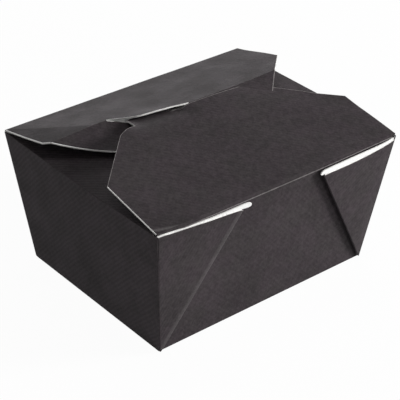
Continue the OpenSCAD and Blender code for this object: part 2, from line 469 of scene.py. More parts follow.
def triangles(outline, step, cuts, fringe):
    """Triangulates an outline, with a narrow band along its cut edges.

    There are inner points too, if step is given.
    """
    verts = [Vector(p) for p in outline]
    count = len(verts)
    edges = [(i, (i + 1) % count) for i in range(count)]
    for a, b in cuts:
        side = (Vector(b) - Vector(a)).normalized()
        inward = Vector((-side.y, side.x)) * fringe
        edges.append((len(verts), len(verts) + 1))
        verts += [Vector(a) + inward, Vector(b) + inward]
    if step:
        verts += inner_points(outline, step)
    found = geometry.delaunay_2d_cdt(verts, edges, [list(range(count))], INSIDE_ONLY, MERGE)
    return [tuple(v) for v in found[0]], [tuple(f) for f in found[2]]


def inner_points(outline, step):
    """Points in staggered rows inside an outline."""
    us = [p[0] for p in outline]
    vs = [p[1] for p in outline]
    found = []
    row = 0
    v = min(vs) + step / 2
    while v < max(vs):
        u = min(us) + step * (0.5 if row % 2 else 1.0)
        while u < max(us):
            if inside(u, v, outline) and edge_distance(u, v, outline) > step * EDGE_ROOM:
                found.append(Vector((u, v)))
            u += step
        v += step * ROW_STEP
        row += 1
    return found


def inside(u, v, outline):
    odd = False
    for i, (u1, v1) in enumerate(outline):
        u2, v2 = outline[i - 1]
        if (v1 > v) != (v2 > v) and u < (u2 - u1) * (v - v1) / (v2 - v1) + u1:
            odd = not odd
    return odd


def segment_distance(u, v, a, b):
    du, dv = b[0] - a[0], b[1] - a[1]
    t = ((u - a[0]) * du + (v - a[1]) * dv) / max(du * du + dv * dv, 1e-9)
    t = min(max(t, 0.0), 1.0)
    return math.hypot(u - a[0] - t * du, v - a[1] - t * dv)


def line_distance(a, b):
    """Function for the signed distance of a place from the line through a and b."""
    du, dv = b[0] - a[0], b[1] - a[1]
    long = math.hypot(du, dv)
    return lambda u, v: ((u - a[0]) * dv - (v - a[1]) * du) / long


def edge_distance(u, v, outline):
    return min(segment_distance(u, v, outline[i - 1], outline[i]) for i in range(len(outline)))


def point_and_normal(place, u, v):
    """A place on a panel's middle surface, and the direction that the surface faces there."""
    h = 0.02
    du = place(u + h, v) - place(u - h, v)
    dv = place(u, v + h) - place(u, v - h)
    return place(u, v), du.cross(dv).normalized()


def plane(origin, ex, ey):
    """Place function of a flat panel, with w outwards from it."""
    ex = Vector(ex)
    ey = Vector(ey)
    out = ex.cross(ey)
    origin = Vector(origin)

    def place(u, v, w=0.0):
        return origin + ex * u + ey * v + out * w

    return place


def large_wall_place(side):
    """Front wall for side -1, rear wall for side 1, seen from outside: u to the right, v up."""
    c, s = math.cos(LEAN_F), math.sin(LEAN_F)
    return plane((0, side * FOLD_Y, BOARD / 2), (-side, 0, 0), (0, side * s, c))


def side_wall_place(side):
    """Left wall for side -1, right wall for side 1, seen from outside: u to the right, v up."""
    c, s = math.cos(LEAN_S), math.sin(LEAN_S)
    flat_wall = plane((side * FOLD_X, 0, BOARD / 2), (0, side, 0), (side * s, 0, c))

    def place(u, v, w=0.0):
        return flat_wall(u, v, w) - Vector((0, 0, side_sag(side, u) * (v / SIDE_SLANT) ** 2))

    return place


def side_sag(side, u):
    """The left wall's top edge hangs a little at its middle."""
    return SIDE_SAG * max(0.0, 1 - (u / TOP_Y) ** 2) if side < 0 else 0.0


def large_wall_flat(side):
    return lambda u, v: (-side * u, side * (FOLD_Y + v))


def side_wall_flat(side):
    return lambda u, v: (side * (FOLD_X + v), side * u)


def add_floor(sheet):
    place = plane((0, 0, BOARD / 2), (1, 0, 0), (0, 1, 0))
    x, y = FOLD_X, FOLD_Y
    outline = [(-x, -y), (x, -y), (x, y), (-x, y)]
    sheet.panel(outline, place, lambda u, v: (u, v), sides=(WHITE, BLACK), joined=everywhere)
    z = BOARD / 2
    for s in (-1, 1):
        sheet.bead([Vector((-x, s * y, z)), Vector((x, s * y, z))], BEAD, (0, s * y), FLOOR_WEAR)
        sheet.bead([Vector((s * x, -y, z)), Vector((s * x, y, z))], BEAD, (s * x, 0), FLOOR_WEAR)


def add_large_wall(sheet, side):
    place = large_wall_place(side)
    up = SLANT_F - BEAD - WALL_GAP
    half = FOLD_X + FLARE_W * up / SLANT_F
    outline = [(-FOLD_X, 0), (FOLD_X, 0), (half, up), (-half, up)]
    covered = line_distance((FOLD_X - TIP_UP * EDGE_IN, TIP_UP), LOOSE_TAB_LOW[0])

    # Painted shadow: the wall is painted darker under a loose gusset and a little past its edge
    def gusset_shadow(u, v):
        return WALL_SHADOW_REACH + covered(-side * u, v)

    sheet.panel(outline, place, large_wall_flat(side), joined=everywhere, painted_shade=gusset_shadow)


def add_side_wall(sheet, side):
    place = side_wall_place(side)
    low = FOLD_Y + 2 * LAY / math.cos(LEAN_F)
    high = low + FLARE_D * SIDE_SLANT / SLANT_S
    up = TIP_UP / 2
    tip = low + FLARE_D * up / SLANT_S
    outline = [(-FOLD_Y, 0), (FOLD_Y, 0), (tip, up)]
    outline += [(high, SIDE_SLANT), (-high, SIDE_SLANT), (-tip, up)]
    sheet.panel(outline, place, side_wall_flat(side), step=SIDE_WALL_STEP, joined=everywhere)
    top = [place(u, SIDE_SLANT) for u in spread(-high, high, count=30)]
    sheet.bead(top, BEAD, (side * (FOLD_X + SIDE_SLANT), 0), RIM_WEAR)
    for end in (-1, 1):
        corner = [place(end * tip, up), place(end * high, SIDE_SLANT)]
        sheet.bead(corner, BEAD, (side * FOLD_X, end * low), CORNER_WEAR)


def gusset_place(side, hand, loose, layer):
    """One layer of a gusset on a large wall.

    u runs from the wall's middle to the corner, which is at the right for hand 1. A loose
    gusset is turned about the corner's edge, and bows out quickly from it.
    """
    wall = large_wall_place(side)
    foot = wall(hand * FOLD_X, 0, LAY)
    edge = (wall(hand * TOP_X, SLANT_F, LAY) - foot).normalized()
    spin = Matrix.Rotation(hand * LOOSE_TURN if loose else 0.0, 3, edge)

    def place(u, v):
        across = max(0.0, (FOLD_X + FLARE_W * v / SLANT_F - u) * math.cos(TILT_F))
        bow = LOOSE_BOW * (1 - math.exp(-across / BOW_RUN)) if loose else 0.0
        return foot + spin @ (wall(hand * u, v, LAY * (1 + layer) + bow) - foot)

    return place


def gusset_flat(side, hand):
    """Flat coordinates of a gusset's outer layer, which is one piece with the side wall."""
    edge_f = (math.sin(TILT_F), math.cos(TILT_F))
    across_f = (-math.cos(TILT_F), math.sin(TILT_F))
    wall_x = -side * hand
    edge_s = (wall_x * math.cos(TILT_S), side * math.sin(TILT_S))
    across_s = (-wall_x * math.sin(TILT_S), side * math.cos(TILT_S))
    corner = (wall_x * FOLD_X, side * FOLD_Y)

    def flat(u, v):
        du = u - FOLD_X
        along = du * edge_f[0] + v * edge_f[1]
        across = du * across_f[0] + v * across_f[1]
        return (
            corner[0] + along * edge_s[0] + across * across_s[0],
            corner[1] + along * edge_s[1] + across * across_s[1],
        )

    return flat


def on_fold(low_end):
    """Tells whether a gusset's place lies on its folded edge, below low_end, or at the corner."""
    start = (FOLD_X - TIP_UP * EDGE_IN, TIP_UP)

    def joined(u, v):
        at_fold = v < low_end[1] - NEAR and segment_distance(u, v, start, low_end) < NEAR_FOLD
        at_corner = abs(u - FOLD_X - FLARE_W * v / SLANT_F) < NEAR_CORNER
        return at_fold or at_corner or v < TIP_UP + NEAR

    return joined


def add_gusset(sheet, side, hand):
    loose = side * hand < 0
    tab_top = LOOSE_TAB_TOP if loose else GLUED_TAB_TOP
    tab_end = LOOSE_TAB_END if loose else GLUED_TAB_END
    tab_low = LOOSE_TAB_LOW if loose else GLUED_TAB_LOW
    tip = [(FOLD_X - TIP_UP * EDGE_IN, TIP_UP), (FOLD_X + FLARE_W * TIP_UP / SLANT_F, TIP_UP)]
    fold_end = tab_low[0]
    round_end = curve_through([tab_top[-1]] + tab_end, count=3)
    inner_outline = tip + curve_through(tab_top, count=3)[:-1] + round_end + [fold_end]
    outer_outline = tip + list(reversed(curve_through(tab_low, count=3)))
    inner = gusset_place(side, hand, loose, 0)
    outer = gusset_place(side, hand, loose, 1)
    middle = gusset_place(side, hand, loose, 0.5)
    flat = gusset_flat(side, hand)
    joined = on_fold(fold_end)

    def facing(place):
        return place if hand > 0 else (lambda u, v: place(-u, v))

    def turned(outline):
        return outline if hand > 0 else [(-u, v) for u, v in reversed(outline)]

    fold = line_distance(tip[0], fold_end)

    # Glued gussets get a highlight line painted along their fold, loose ones none
    def soft_line(u, v):
        return far_off(u, v) if loose else SOFT_AT_FOLD + SOFT_GROWTH * abs(fold(hand * u, v))

    def add_layer(outline, place, sides):
        sheet.panel(
            turned(outline), facing(place), lambda u, v: flat(hand * u, v), step=GUSSET_STEP,
            sides=sides, joined=lambda u, v: joined(hand * u, v), crease=soft_line,
        )

    add_layer(inner_outline, inner, (WHITE, BLACK))
    add_layer(outer_outline, outer, (BLACK, WHITE))
    start = (FOLD_X - FOLD_FROM * EDGE_IN, FOLD_FROM)
    path = []
    for t in spread(0, 1, count=16):
        u = start[0] + (fold_end[0] - start[0]) * t
        v = start[1] + (fold_end[1] - start[1]) * t
        path.append(middle(u, v))
    # The glued gussets' folded edge is painted lighter, as wear and a painted highlight; the loose
    # ones' edge is painted dark, a painted shade of the gap under it
    wear_and_highlight = 0.0 if loose else GUSSET_WEAR_AND_HIGHLIGHT
    painted_shade = FAR if loose else -FAR
    sheet.bead(path, FOLD_BEAD, flat(*fold_end), wear_and_highlight, fn=16, painted_shade=painted_shade)


def side_flap_place(side):
    x = side * (TOP_X - FLARE_W * SIDE_DROP / WALL_H)
    c, s = math.cos(SIDE_RISE), math.sin(SIDE_RISE)
    flat_flap = plane((x, 0, HINGE_Z - SIDE_DROP), (0, side, 0), (-side * c, 0, s))

    def place(u, v, w=0.0):
        return flat_flap(u, v, w) - Vector((0, 0, side_sag(side, u) * math.exp(-v / SAG_FADE)))

    return place


def add_side_flap(sheet, side):
    place = side_flap_place(side)
    root = TOP_Y - CORNER_RELIEF
    end = root - SIDE_LEN
    outline = [(-root, 0), (root, 0), (end, SIDE_LEN), (-end, SIDE_LEN)]
    flat = side_wall_flat(side)
    sheet.panel(
        outline, place, lambda u, v: flat(u, SLANT_S + v), step=SIDE_FLAP_STEP,
        joined=lambda u, v: v < NEAR,
    )


LIP = curve_through(LIP_POINTS, count=4)


def lip_at(x):
    """The lip's edge at a place along the flap: distance from the fold, lift."""
    for a, b in zip(LIP, LIP[1:]):
        if a[0] <= x <= b[0]:
            t = (x - a[0]) / (b[0] - a[0])
            return a[1] + (b[1] - a[1]) * t, a[2] + (b[2] - a[2]) * t
    return (RIDGE_V, 0.0) if x > 0 else (LEFT_FOLD_V, 0.0)


def root_distance(x, v):
    """Distance past the line where the lip springs up, towards the lip's edge."""
    run = Vector((-LIP_ROOT, RIDGE_V - LEFT_FOLD_V)).normalized()
    return -run.y * x + run.x * (v - RIDGE_V) + LIP_ROOT_BACK


def rear_corner(x, v):
    """Distance past the soft crease across the rear flap's left corner, towards its wing."""
    at, run = REAR_CREASE_AT, REAR_CREASE_RUN
    return (v - at[1]) * run[0] - (x - at[0]) * run[1]


def along_rear_crease(x, v):
    """Place along that soft crease, from its own point."""
    at, run = REAR_CREASE_AT, REAR_CREASE_RUN
    return (v - at[1]) * run[1] + (x - at[0]) * run[0]


def rear_lift(x, v):
    """How far the rear flap's first panel lies off its plane."""
    root = ROOT_LIFT * math.exp(-v / ROOT_RUN)
    right = WING_LIFT * smooth((x - WING_FROM) / WING_RUN) * smooth(v / WING_DEPTH)
    ease = smooth((along_rear_crease(x, v) + REAR_CORNER_EASE / 2) / REAR_CORNER_EASE)
    left = -REAR_CORNER_DROOP * max(rear_corner(x, v), 0.0) * ease
    return root + right + left + wave(x, v, *REAR_WAVE)


def lip_lift(x, v):
    """How far the rear flap lies off its plane beside the slit, where its lip springs up."""
    edge_v, lift = lip_at(x)
    reach = max(root_distance(x, edge_v), LIP_LEAST_REACH)
    return lift * (max(root_distance(x, v), 0.0) / reach) ** 2


def rear_base(x, v, h):
    """A place on the rear flap, h off its plane."""
    c, s = math.cos(REAR_RISE), math.sin(REAR_RISE)
    return Vector((x, TOP_Y - v * c + h * s, HINGE_Z + v * s + h * c))


def rear_place(u, v):
    return rear_base(-u, v, rear_lift(-u, v) + lip_lift(-u, v))


def left_slant(v):
    """The slanting left edge's place along the rear flap."""
    return -REAR_LEFT + (v - LEFT_WING) + LEFT_WING_IN


def right_slant(v):
    """The slanting right edge's place along the rear flap."""
    return REAR_RIGHT - (v - RIGHT_WING)


def rear_flat(u, v):
    return (-u, FOLD_Y + SLANT_F + v)


def fold_v(x):
    """Distance of the tucked panel's fold from the rear fold, at a place along the flap."""
    share = min(max(1 - x / LIP_ROOT, 0.0), 1.0)
    return LEFT_FOLD_V + (RIDGE_V - LEFT_FOLD_V) * share


def tuck_start(x):
    """The place on the tucked panel's fold."""
    v = fold_v(x)
    return rear_base(x, v, rear_lift(x, v))


def tuck_place(u, v):
    """The tucked panel falls away from its fold, and levels out at its left end."""
    x = -u
    w = v - fold_v(x)
    share = smooth((x - TUCK_TURN_FROM) / TUCK_TURN_RUN)
    run = min(max(w / TUCK_RUN, 0.0), 1.0)
    left = TUCK_DROP * (1 - (1 - run) ** 2) if w > 0 else w * TUCK_BEHIND
    drop = left * (1 - share) + w * math.sin(TUCK_FALL) * share
    from_left = smooth((x - LIP_ROOT + SLIT_MARGIN) / SLIT_EASE)
    from_right = smooth((SLIT_MARGIN - x) / SLIT_EASE)
    window = from_left * from_right
    drop += SLIT_DROP * window * smooth(1 - w / SLIT_DEPTH) + wave(x, v, *TUCK_WAVE)
    return tuck_start(x) + Vector((0, -w * math.cos(TUCK_FALL), -drop))


def add_rear_flap(sheet):
    """The rear flap's own u runs to its right as seen from behind, so it is the negative of x."""
    lip = [(-x, v) for x, v, _ in LIP]
    outline = [(-REAR_RIGHT, 0), (REAR_LEFT, 0), (REAR_LEFT - LEFT_WING_IN, LEFT_WING)]
    outline += [(-left_slant(LEFT_FOLD_V), LEFT_FOLD_V)]
    outline += lip
    outline += [(-right_slant(RIDGE_V), RIDGE_V), (-REAR_RIGHT, RIGHT_WING)]

    def folded(u, v):
        at_ridge = abs(v - RIDGE_V) < NEAR and u < NEAR_END
        at_left = abs(v - LEFT_FOLD_V) < NEAR and u > -LIP_ROOT - NEAR_END
        return v < NEAR or at_ridge or at_left

    # The left corner past the soft crease is painted darker, a painted shade, and it also droops
    # there
    sheet.panel(
        outline, rear_place, rear_flat, step=REAR_STEP, thick=FLAP_T, joined=folded,
        bare=lambda u, v: u > -LIP_BARE_TO, fringe=BARE_W,
        painted_shade=lambda u, v: rear_corner(-u, v),
    )
    add_rear_beads(sheet)
    tucked = [(-right_slant(REAR_LEN), REAR_LEN), (-right_slant(RIDGE_V), RIDGE_V)]
    tucked += list(reversed(lip))
    tucked += [(-left_slant(LEFT_FOLD_V), LEFT_FOLD_V), (-left_slant(REAR_LEN), REAR_LEN)]
    sheet.panel(
        tucked, tuck_place, rear_flat, step=REAR_STEP, thick=FLAP_T, joined=folded,
        bare=lambda u, v: u > TUCK_BARE_FROM, fringe=BARE_W,
    )


def add_rear_beads(sheet):
    """The rear flap's rounded folds: at the wall, at the ridge and at the left."""
    back = [rear_place(-x, 0) for x in spread(-REAR_LEFT, REAR_RIGHT, count=30)]
    sheet.bead(back, FLAP_T / 2, rear_flat(0, 0), RIM_WEAR)
    ridge_end = right_slant(RIDGE_V) - EDGE_SHORT
    ridge = [tuck_start(x) for x in spread(RIDGE_SHORT, ridge_end, count=24)]
    sheet.bead(ridge, FLAP_T / 2, rear_flat(0, RIDGE_V), RIDGE_WEAR)
    left_end = left_slant(LEFT_FOLD_V) + EDGE_SHORT
    left = [tuck_start(x) for x in spread(left_end, LIP_ROOT - SLIT_SHORT, count=14)]
    sheet.bead(left, FLAP_T / 2, rear_flat(0, LEFT_FOLD_V), LEFT_FOLD_WEAR)


# Distance past the front flap's soft crease, towards its left corner
corner_crease = line_distance(*CORNER_CREASE)


def front_window(u):
    """1 along the tongue, falling off to 0 at both sides."""
    return smooth(-u / TONGUE_RIGHT_EASE) * smooth((u - TONGUE_LEFT_END) / TONGUE_LEFT_EASE)


def front_lift(u, v):
    """How far the front flap lies off its plane: drooping wing, dipping tongue, soft bends."""
    off = max(u * RIGHT_DROOP_RUN[0] + v * RIGHT_DROOP_RUN[1] - DROOP_FROM, 0.0)
    right = max(-RIGHT_DROOP * off ** 2, -DROOP_LIMIT)
    off = max(v * FAR_DROOP_RUN + u * FAR_DROOP_RUN - DROOP_FROM, 0.0)
    far = -FAR_DROOP * off * max(v - FAR_DROOP_V, 0.0) * FAR_DROOP_SHARE
    past = v - TONGUE_BEND_V
    dip = -TONGUE_SLOPE * (math.hypot(past, TONGUE_BEND) + past) / 2
    dip = dip * front_window(u) * smooth((v - TONGUE_DEPTH_FROM) / TONGUE_DEPTH_RUN)
    corner = -CORNER_BEND * max(corner_crease(u, v), 0.0) * smooth(v / CORNER_BEND_EASE)
    return right + far + dip + corner + wave(u, v, *FRONT_WAVE)


def front_place(u, v):
    h = front_lift(u, v)
    c, s = math.cos(FRONT_RISE), math.sin(FRONT_RISE)
    return Vector((u, -TOP_Y + v * c - h * s, HINGE_Z + v * s + h * c))


def front_flat(u, v):
    return (u, -(FOLD_Y + SLANT_F + v))


def tongue_edge():
    """Far edge of the tongue, which passes under the lip."""
    found = []
    for x in spread(TONGUE_FROM - TONGUE_SIDE_RUN, TONGUE_TIP, count=16):
        v, lift = lip_at(x)
        from_left = smooth((x - TONGUE_TIP) / REACH_LEFT_EASE)
        from_right = smooth((REACH_RIGHT_END - x) / REACH_RIGHT_EASE)
        reach = TONGUE_REACH * from_left * from_right
        y = rear_base(x, v, lift).y - TONGUE_GAP + reach
        found.append((x, (y + TOP_Y) / math.cos(FRONT_RISE)))
    return found


def add_front_flap(sheet):
    outline = [(-FRONT_LEFT, 0), (FRONT_RIGHT, 0)] + RIGHT_EDGE
    outline += [(TONGUE_FROM, FRONT_LEN)] + tongue_edge() + LEFT_EDGE
    # Along the corner's soft crease a highlight line is painted, and past it the corner is painted
    # darker as painted shade
    sheet.panel(
        outline, front_place, front_flat, step=FRONT_STEP, thick=FLAP_T,
        joined=lambda u, v: v < NEAR, bare=lambda u, v: u < 0 and v < FRONT_BARE_TO,
        crease=lambda u, v: CORNER_CREASE_NARROW * corner_crease(u, v), painted_shade=corner_crease,
    )
    path = [front_place(u, 0) for u in spread(-FRONT_LEFT, FRONT_RIGHT, count=40)]
    sheet.bead(path, FLAP_T / 2, front_flat(0, 0))


# Section of the front fold, around the hinge's axis: outwards, upwards, share of the extra drop
APRON = [
    (-0.25, 0.29, 0), (0.31, 0.30, 0), (0.30, 0.05, 0), (0.23, -0.45, 0.3), (0.20, -0.90, 1),
    (0.40, -0.98, 1), (0.50, -1.10, 1), (0.46, -1.25, 1), (0.30, -1.33, 1), (0.05, -1.30, 1),
    (-0.30, -0.60, 0), (-0.30, 0.0, 0),
]
# Which of its strips are painted light, as worn ink and a painted highlight. The extra drop, at
# the left, and the run over which it grows.
APRON_HIGHLIGHT = (4, 5, 6)
APRON_DROP = 0.5
APRON_RUN = 45.0


def add_front_fold(sheet):
    """The rounded fold of the front flap, where it turns down on the wall.

    Its pressed lower edge is painted light, as worn ink and a painted highlight, except at the
    left corner.
    """
    corner = CORNER_CREASE[1][0]
    add_apron(sheet, spread(-FRONT_LEFT, corner, count=6), ())
    add_apron(sheet, spread(corner, FRONT_RIGHT, count=36), APRON_HIGHLIGHT)


def add_apron(sheet, places, light):
    """A length of the front fold, with a ring of its section at each of the places."""
    rings = []
    for u in places:
        drop = APRON_DROP * smooth((FRONT_RIGHT - u) / APRON_RUN)
        ring = []
        for out, up, share in APRON:
            z = HINGE_Z + up - share * drop + wave(u, out, *APRON_WAVE)
            ring.append(Vector((u, -TOP_Y - out, z)))
        rings.append(ring)
    slots = [CREASE if k in light else BLACK for k in range(len(APRON))] + [BLACK]
    sheet.tube(rings, large_wall_flat(-1)(0, SLANT_F), slots)


# Every noise: how strong each finer layer is
NOISE_ROUGH = 0.5


def node_tree(name):
    """A new material, its node tree and its surface node."""
    material = bpy.data.materials.new(name)
    material.use_nodes = True
    tree = material.node_tree
    return material, tree, tree.nodes["Principled BSDF"]


def link(tree, a, b):
    tree.links.new(a, b)


def add_math(tree, kind, a, b=None, c=None):
    node = tree.nodes.new("ShaderNodeMath")
    node.operation = kind
    for i, value in enumerate((a, b, c)):
        if value is None:
            continue
        if isinstance(value, (int, float)):
            node.inputs[i].default_value = value
        else:
            link(tree, value, node.inputs[i])
    return node.outputs[0]


def add_noise(tree, vector, scale, detail):
    node = tree.nodes.new("ShaderNodeTexNoise")
    node.inputs["Scale"].default_value = scale
    node.inputs["Detail"].default_value = detail
    node.inputs["Roughness"].default_value = NOISE_ROUGH
    link(tree, vector, node.inputs["Vector"])
    return node.outputs["Fac"]


def add_ramp(tree, fac, stops):
    node = tree.nodes.new("ShaderNodeValToRGB")
    ramp = node.color_ramp
    while len(ramp.elements) < len(stops):
        ramp.elements.new(0.5)
    for element, (at, colour) in zip(ramp.elements, stops):
        element.position = at
        element.color = (*colour, 1)
    link(tree, fac, node.inputs["Fac"])
    return node.outputs["Color"]


def add_mix(tree, fac, a, b):
    node = tree.nodes.new("ShaderNodeMix")
    node.data_type = "RGBA"
    link(tree, fac, node.inputs["Factor"])
    for socket, value in ((node.inputs["A"], a), (node.inputs["B"], b)):
        if isinstance(value, tuple):
            socket.default_value = (*value, 1)
        else:
            link(tree, value, socket)
    return node.outputs["Result"]


def add_bump(tree, bsdf, height, strength, distance):
    node = tree.nodes.new("ShaderNodeBump")
    node.inputs["Strength"].default_value = strength
    node.inputs["Distance"].default_value = distance
    link(tree, height, node.inputs["Height"])
    link(tree, node.outputs["Normal"], bsdf.inputs["Normal"])


def attribute(tree, name, output):
    node = tree.nodes.new("ShaderNodeAttribute")
    node.attribute_name = name
    return node.outputs[output]


def object_place(tree):
    return tree.nodes.new("ShaderNodeTexCoord").outputs["Object"]


# The laid ribs of the paper run at 45 degrees across the flat sheet, and wander a little
RIB_PERIOD = 1.7
RIB_WANDER = 5.0
WANDER_NOISE = (0.09, 2.0)
# They are strong on the left wall and faint elsewhere. The pairs are places on the flat sheet: the
# ribs grow strong from the first to the second of one, and faint from the first to the second of
# the other.
RIB_FAINT = 0.3
LEFT_RIB_RANGE = (-50, -60)
LARGE_RIB_RANGE = (41, 50)


def rib_height(tree):
    """The ribs as a wave from -1 to 1."""
    flat = attribute(tree, "flat", "Vector")
    split = tree.nodes.new("ShaderNodeSeparateXYZ")
    link(tree, flat, split.inputs[0])
    across = add_math(tree, "SUBTRACT", split.outputs[0], split.outputs[1])
    across = add_math(tree, "MULTIPLY", across, math.sqrt(0.5))
    wander = add_noise(tree, flat, *WANDER_NOISE)
    phase = add_math(tree, "MULTIPLY", across, math.tau / RIB_PERIOD)
    return add_math(tree, "SINE", add_math(tree, "MULTIPLY_ADD", wander, RIB_WANDER, phase))


def add_range(tree, value, start, end, low, high):
    """Changes evenly from low to high while the value goes from start to end."""
    node = tree.nodes.new("ShaderNodeMapRange")
    ends = (("From Min", start), ("From Max", end), ("To Min", low), ("To Max", high))
    for name, number in ends:
        node.inputs[name].default_value = number
    link(tree, value, node.inputs["Value"])
    return node.outputs[0]


def faded_rib(tree):
    """The ribs show most on the left wall."""
    split = tree.nodes.new("ShaderNodeSeparateXYZ")
    link(tree, attribute(tree, "flat", "Vector"), split.inputs[0])
    left = add_range(tree, split.outputs[0], *LEFT_RIB_RANGE, RIB_FAINT, 1.0)
    y = add_math(tree, "ABSOLUTE", split.outputs[1])
    middle = add_range(tree, y, *LARGE_RIB_RANGE, 1.0, RIB_FAINT)
    return add_math(tree, "MULTIPLY", rib_height(tree), add_math(tree, "MINIMUM", left, middle))


# Painted shade, where parts that are bent out of the light or lie in a shadow are painted
# darker: growth of the darkness per millimetre, how dark they are at their edge, how much darker
# they are, and their loss of gloss
SHADE_GROWTH = 1.5
SHADE_AT_EDGE = 0.5
SHADE_SHARE = 0.28
SHADE_GLOSS = -0.02


def painted_shade_part(tree):
    """Painted shade: 1 in the parts of a panel that are painted darker because they are bent out
    of the light or lie in a shadow, 0 elsewhere.
    """
    inside_by = attribute(tree, "painted_shade", "Fac")
    ramp = add_math(tree, "MULTIPLY_ADD", inside_by, SHADE_GROWTH, SHADE_AT_EDGE)
    return add_math(tree, "MINIMUM", add_math(tree, "MAXIMUM", ramp, 0.0), 1.0)


# The black board's noises: scale, detail
CLOUDY_NOISE = (38.0, 3.0)
BLOTCH_NOISE = (95.0, 2.0)
MOTTLE_NOISE = (420.0, 2.0)
FINE_NOISE = (1100.0, 2.0)
# Their shares in its tone. Where the tone is darkest and lightest, and how dark and light there.
CLOUDY_TONE = 0.3
RIB_TONE = 0.09
FINE_TONE = 0.4
MOTTLE_TONE = 0.5
DARKEST_AT = 0.45
DARKEST = 0.72
LIGHTEST_AT = 0.75
LIGHTEST = 1.28
# Where the blotches change from the one hue to the other
HUE_FROM = 0.42
HUE_TO = 0.6
# The painted highlight line along a soft fold: its strength, and the loss per millimetre
HIGHLIGHT_STRENGTH = 0.55
HIGHLIGHT_LOSS = 0.3
# The fine noise breaks the rubbed places and the painted highlight lines up
BREAKUP_LEAST = 0.4
BREAKUP_SPREAD = 0.9
# Roughness, patchy by the mottle and the blotches, and gloss
ROUGH_LEAST = 0.45
ROUGH_MOTTLE = 0.1
ROUGH_BLOTCH = 0.25
GLOSS = 0.05
# Relief: the ribs' and the mottle's height beside the fine noise, the bump's strength and depth
RIB_RELIEF = 0.35
MOTTLE_RELIEF = 1.2
BLACK_BUMP = (0.45, 0.00009)
# The colours of soft folds and painted highlight lines in the black board, and of the brightest
# rubbed places and painted highlights
SOFT_FOLD_COLOUR = (0.19, 0.178, 0.178)
WEAR_AND_HIGHLIGHT_COLOUR = (0.30, 0.29, 0.285)
# How much a fold's wear shows on the black board and on its creases
BOARD_RUB = 0.75
CREASE_RUB = 0.9


def black_material(name, base, grey, crease, rub):
    """Black board of two hues, which shows its ribs, its mottle and its rubbed folds, with painted
    highlight lines along soft folds and painted shade.
    """
    material, tree, bsdf = node_tree(name)
    rib = faded_rib(tree)
    place = object_place(tree)
    cloudy = add_noise(tree, place, *CLOUDY_NOISE)
    blotch = add_noise(tree, place, *BLOTCH_NOISE)
    mottle = add_noise(tree, place, *MOTTLE_NOISE)
    fine = add_noise(tree, place, *FINE_NOISE)
    tone = board_tone(tree, rib, cloudy, mottle, fine)
    colour = board_colour(tree, tone, blotch, base, grey)
    # Painted shade: the shaded parts are mixed towards black and lose a little gloss
    painted_darkness = painted_shade_part(tree)
    painted_dimming = add_math(tree, "MULTIPLY", painted_darkness, SHADE_SHARE)
    colour = add_mix(tree, painted_dimming, colour, (0.0, 0.0, 0.0))
    # A highlight line is painted along soft folds and added to the rubbing of worn folds
    painted_line = painted_fold_highlight(tree)
    wear_and_highlight_share = add_math(tree, "MULTIPLY_ADD", attribute(tree, "wear_and_highlight", "Fac"), rub, painted_line)
    breaks = add_math(tree, "MULTIPLY_ADD", fine, BREAKUP_SPREAD, BREAKUP_LEAST)
    broken = add_math(tree, "MULTIPLY", wear_and_highlight_share, breaks)
    link(tree, add_mix(tree, broken, colour, crease), bsdf.inputs["Base Color"])
    rough = add_math(tree, "MULTIPLY_ADD", mottle, ROUGH_MOTTLE, ROUGH_LEAST)
    rough = add_math(tree, "MULTIPLY_ADD", blotch, ROUGH_BLOTCH, rough)
    link(tree, rough, bsdf.inputs["Roughness"])
    gloss = add_math(tree, "MULTIPLY_ADD", painted_darkness, SHADE_GLOSS, GLOSS)
    link(tree, gloss, bsdf.inputs["Specular IOR Level"])
    height = add_math(tree, "MULTIPLY_ADD", mottle, MOTTLE_RELIEF, fine)
    height = add_math(tree, "MULTIPLY_ADD", rib, RIB_RELIEF, height)
    add_bump(tree, bsdf, height, *BLACK_BUMP)
    return material


def board_tone(tree, rib, cloudy, mottle, fine):
    """The sum of the ribs and the noises, each with its share."""
    coarse = add_math(tree, "MULTIPLY", cloudy, CLOUDY_TONE)
    coarse = add_math(tree, "MULTIPLY_ADD", rib, RIB_TONE, coarse)
    close = add_math(tree, "MULTIPLY", fine, FINE_TONE)
    close = add_math(tree, "MULTIPLY_ADD", mottle, MOTTLE_TONE, close)
    return add_math(tree, "ADD", coarse, close)


def board_colour(tree, tone, blotch, base, grey):
    """One hue or the other by the blotches, dark or light by the tone."""
    shades = []
    for colour in (base, grey):
        dark = tuple(c * DARKEST for c in colour)
        light = tuple(c * LIGHTEST for c in colour)
        shades.append(add_ramp(tree, tone, ((DARKEST_AT, dark), (LIGHTEST_AT, light))))
    hue = add_ramp(tree, blotch, ((HUE_FROM, (0, 0, 0)), (HUE_TO, (1, 1, 1))))
    return add_mix(tree, hue, shades[0], shades[1])


def painted_fold_highlight(tree):
    """Strength of the painted highlight line along a soft fold."""
    painted_line = add_math(tree, "ABSOLUTE", attribute(tree, "crease", "Fac"))
    painted_line = add_math(tree, "MULTIPLY_ADD", painted_line, -HIGHLIGHT_LOSS, HIGHLIGHT_STRENGTH)
    return add_math(tree, "MAXIMUM", painted_line, 0.0)


# The white board's fibres: scale and detail, where they are darkest and lightest, relief
FIBRE_NOISE = (900.0, 3.0)
FIBRE_DARK = 0.3
FIBRE_LIGHT = 0.65
WHITE_BUMP = (0.15, 0.00006)


def white_material(name, light, dark, roughness):
    """White board with fine fibres."""
    material, tree, bsdf = node_tree(name)
    fibre = add_noise(tree, object_place(tree), *FIBRE_NOISE)
    colour = add_ramp(tree, fibre, ((FIBRE_DARK, dark), (FIBRE_LIGHT, light)))
    link(tree, colour, bsdf.inputs["Base Color"])
    bsdf.inputs["Roughness"].default_value = roughness
    add_bump(tree, bsdf, fibre, *WHITE_BUMP)
    return material


